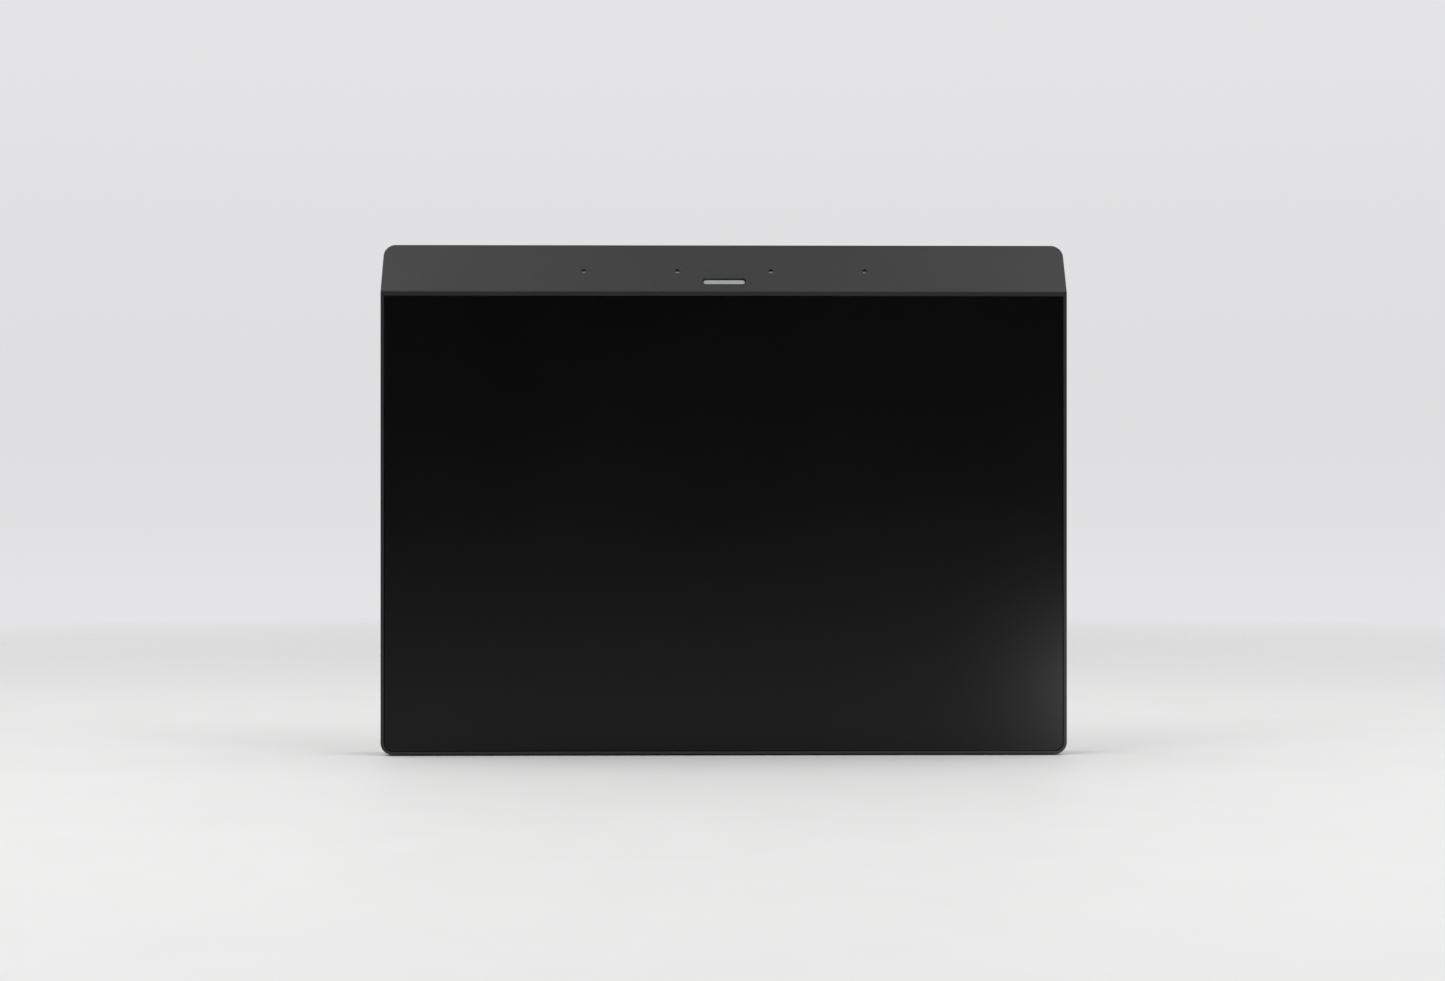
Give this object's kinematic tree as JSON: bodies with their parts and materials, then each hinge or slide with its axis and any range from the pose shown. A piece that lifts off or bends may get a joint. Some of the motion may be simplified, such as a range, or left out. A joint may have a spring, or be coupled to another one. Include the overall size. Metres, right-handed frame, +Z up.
{
  "type": "smart display",
  "caption": "Upright smart display: a flush touchscreen in a thin dark slab, a sloping microphone brow with a light bar, and a fold-out rear stand.",
  "frame": {"origin": "under the middle of the slab, at the underside of its rubber feet", "axes": "+Z up, +Y from the glass towards the back, +X to the right as seen from the front"},
  "size_m": [0.248, 0.017, 0.1854],
  "materials": {
    "slate_plastic": "fine matte texture",
    "slate_aluminium": "dark anodised, satin",
    "black_plastic": "matte",
    "cover_glass": "black, lightly etched against glare",
    "foam_tape": "matte foam",
    "touch_film": "clear film",
    "lcd_panel": "dark, unlit",
    "backlight_white": "white diffuser",
    "magnesium": "cast, satin",
    "steel": "satin",
    "dark_steel": "black oxide",
    "aluminium": "bare, satin",
    "rubber": "matte",
    "circuit_board": "green solder mask",
    "chip_resin": "satin",
    "light_lens": "opal",
    "led": "pale resin",
    "microphone_can": "gilt can",
    "speaker_cone": "matte cone",
    "grille_metal": "dark satin",
    "flex_cable": "amber film",
    "speaker_lead": "red insulation",
    "mute_orange": "orange-red"
  },
  "bodies": {
    "chassis": {"front_housing": "slate_plastic", "rear_cover": "slate_plastic", "cover_glass": "cover_glass", "glass_gasket": "foam_tape", "touch_sensor": "touch_film", "lcd_panel": "lcd_panel", "backlight_module": "backlight_white", "mid_frame": "magnesium", "bottom_foot_front": "rubber", "bottom_foot_rear": "rubber", "status_light_lens": "light_lens", "status_led_bar": "led", "sensor_board": "circuit_board", "microphone_gasket": "foam_tape", "microphone_1": "microphone_can", "microphone_2": "microphone_can", "microphone_3": "microphone_can", "microphone_4": "microphone_can", "antenna_left": "circuit_board", "antenna_right": "circuit_board", "main_board": "circuit_board", "processor_shield": "steel", "heat_spreader": "aluminium", "wifi_module": "chip_resin", "usb_c_port_1": "steel", "usb_c_port_2": "steel", "speaker_box_left": "black_plastic", "speaker_box_right": "black_plastic", "speaker_driver_left": "speaker_cone", "speaker_driver_right": "speaker_cone", "speaker_grille_left": "grille_metal", "speaker_grille_right": "grille_metal", "display_flex": "flex_cable", "sensor_flex": "flex_cable", "speaker_lead_left": "speaker_lead", "speaker_lead_right": "speaker_lead", "button_board": "circuit_board", "power_switch": "steel", "volume_up_switch": "steel", "volume_down_switch": "steel", "mute_switch_body": "steel", "hinge_bracket_left": "steel", "hinge_bracket_right": "steel", "hinge_pin_left": "steel", "hinge_pin_right": "steel", "cover_screw_1": "dark_steel", "hinge_screw_1": "dark_steel", "cover_screw_2": "dark_steel", "hinge_screw_2": "dark_steel", "cover_screw_3": "dark_steel", "hinge_screw_3": "dark_steel", "cover_screw_4": "dark_steel", "hinge_screw_4": "dark_steel"},
    "kickstand": {"kickstand": "slate_aluminium", "kickstand_foot": "rubber"},
    "power_button": {"power_button": "slate_plastic"},
    "volume_up_button": {"volume_up_button": "slate_plastic"},
    "volume_down_button": {"volume_down_button": "slate_plastic"},
    "mute_slider": {"mute_slider": "mute_orange"}
  },
  "joints": [
    {"name": "kickstand_hinge", "type": "hinge", "parent": "chassis", "child": "kickstand", "pos_m": [0, 0.0064, 0.108], "axis": [1, 0, 0], "range_deg": [0, 65]},
    {"name": "power_button_press", "type": "slide", "parent": "chassis", "child": "power_button", "axis": [0, -1, 0], "range_m": [0, 0.0005], "stiffness_N_per_m": 800, "springref_m": -0.001},
    {"name": "volume_up_button_press", "type": "slide", "parent": "chassis", "child": "volume_up_button", "axis": [0, -1, 0], "range_m": [0, 0.0005], "stiffness_N_per_m": 800, "springref_m": -0.001},
    {"name": "volume_down_button_press", "type": "slide", "parent": "chassis", "child": "volume_down_button", "axis": [0, -1, 0], "range_m": [0, 0.0005], "stiffness_N_per_m": 800, "springref_m": -0.001},
    {"name": "mute_slide", "type": "slide", "parent": "chassis", "child": "mute_slider", "axis": [1, 0, 0], "range_m": [0, 0.0025]}
  ]
}
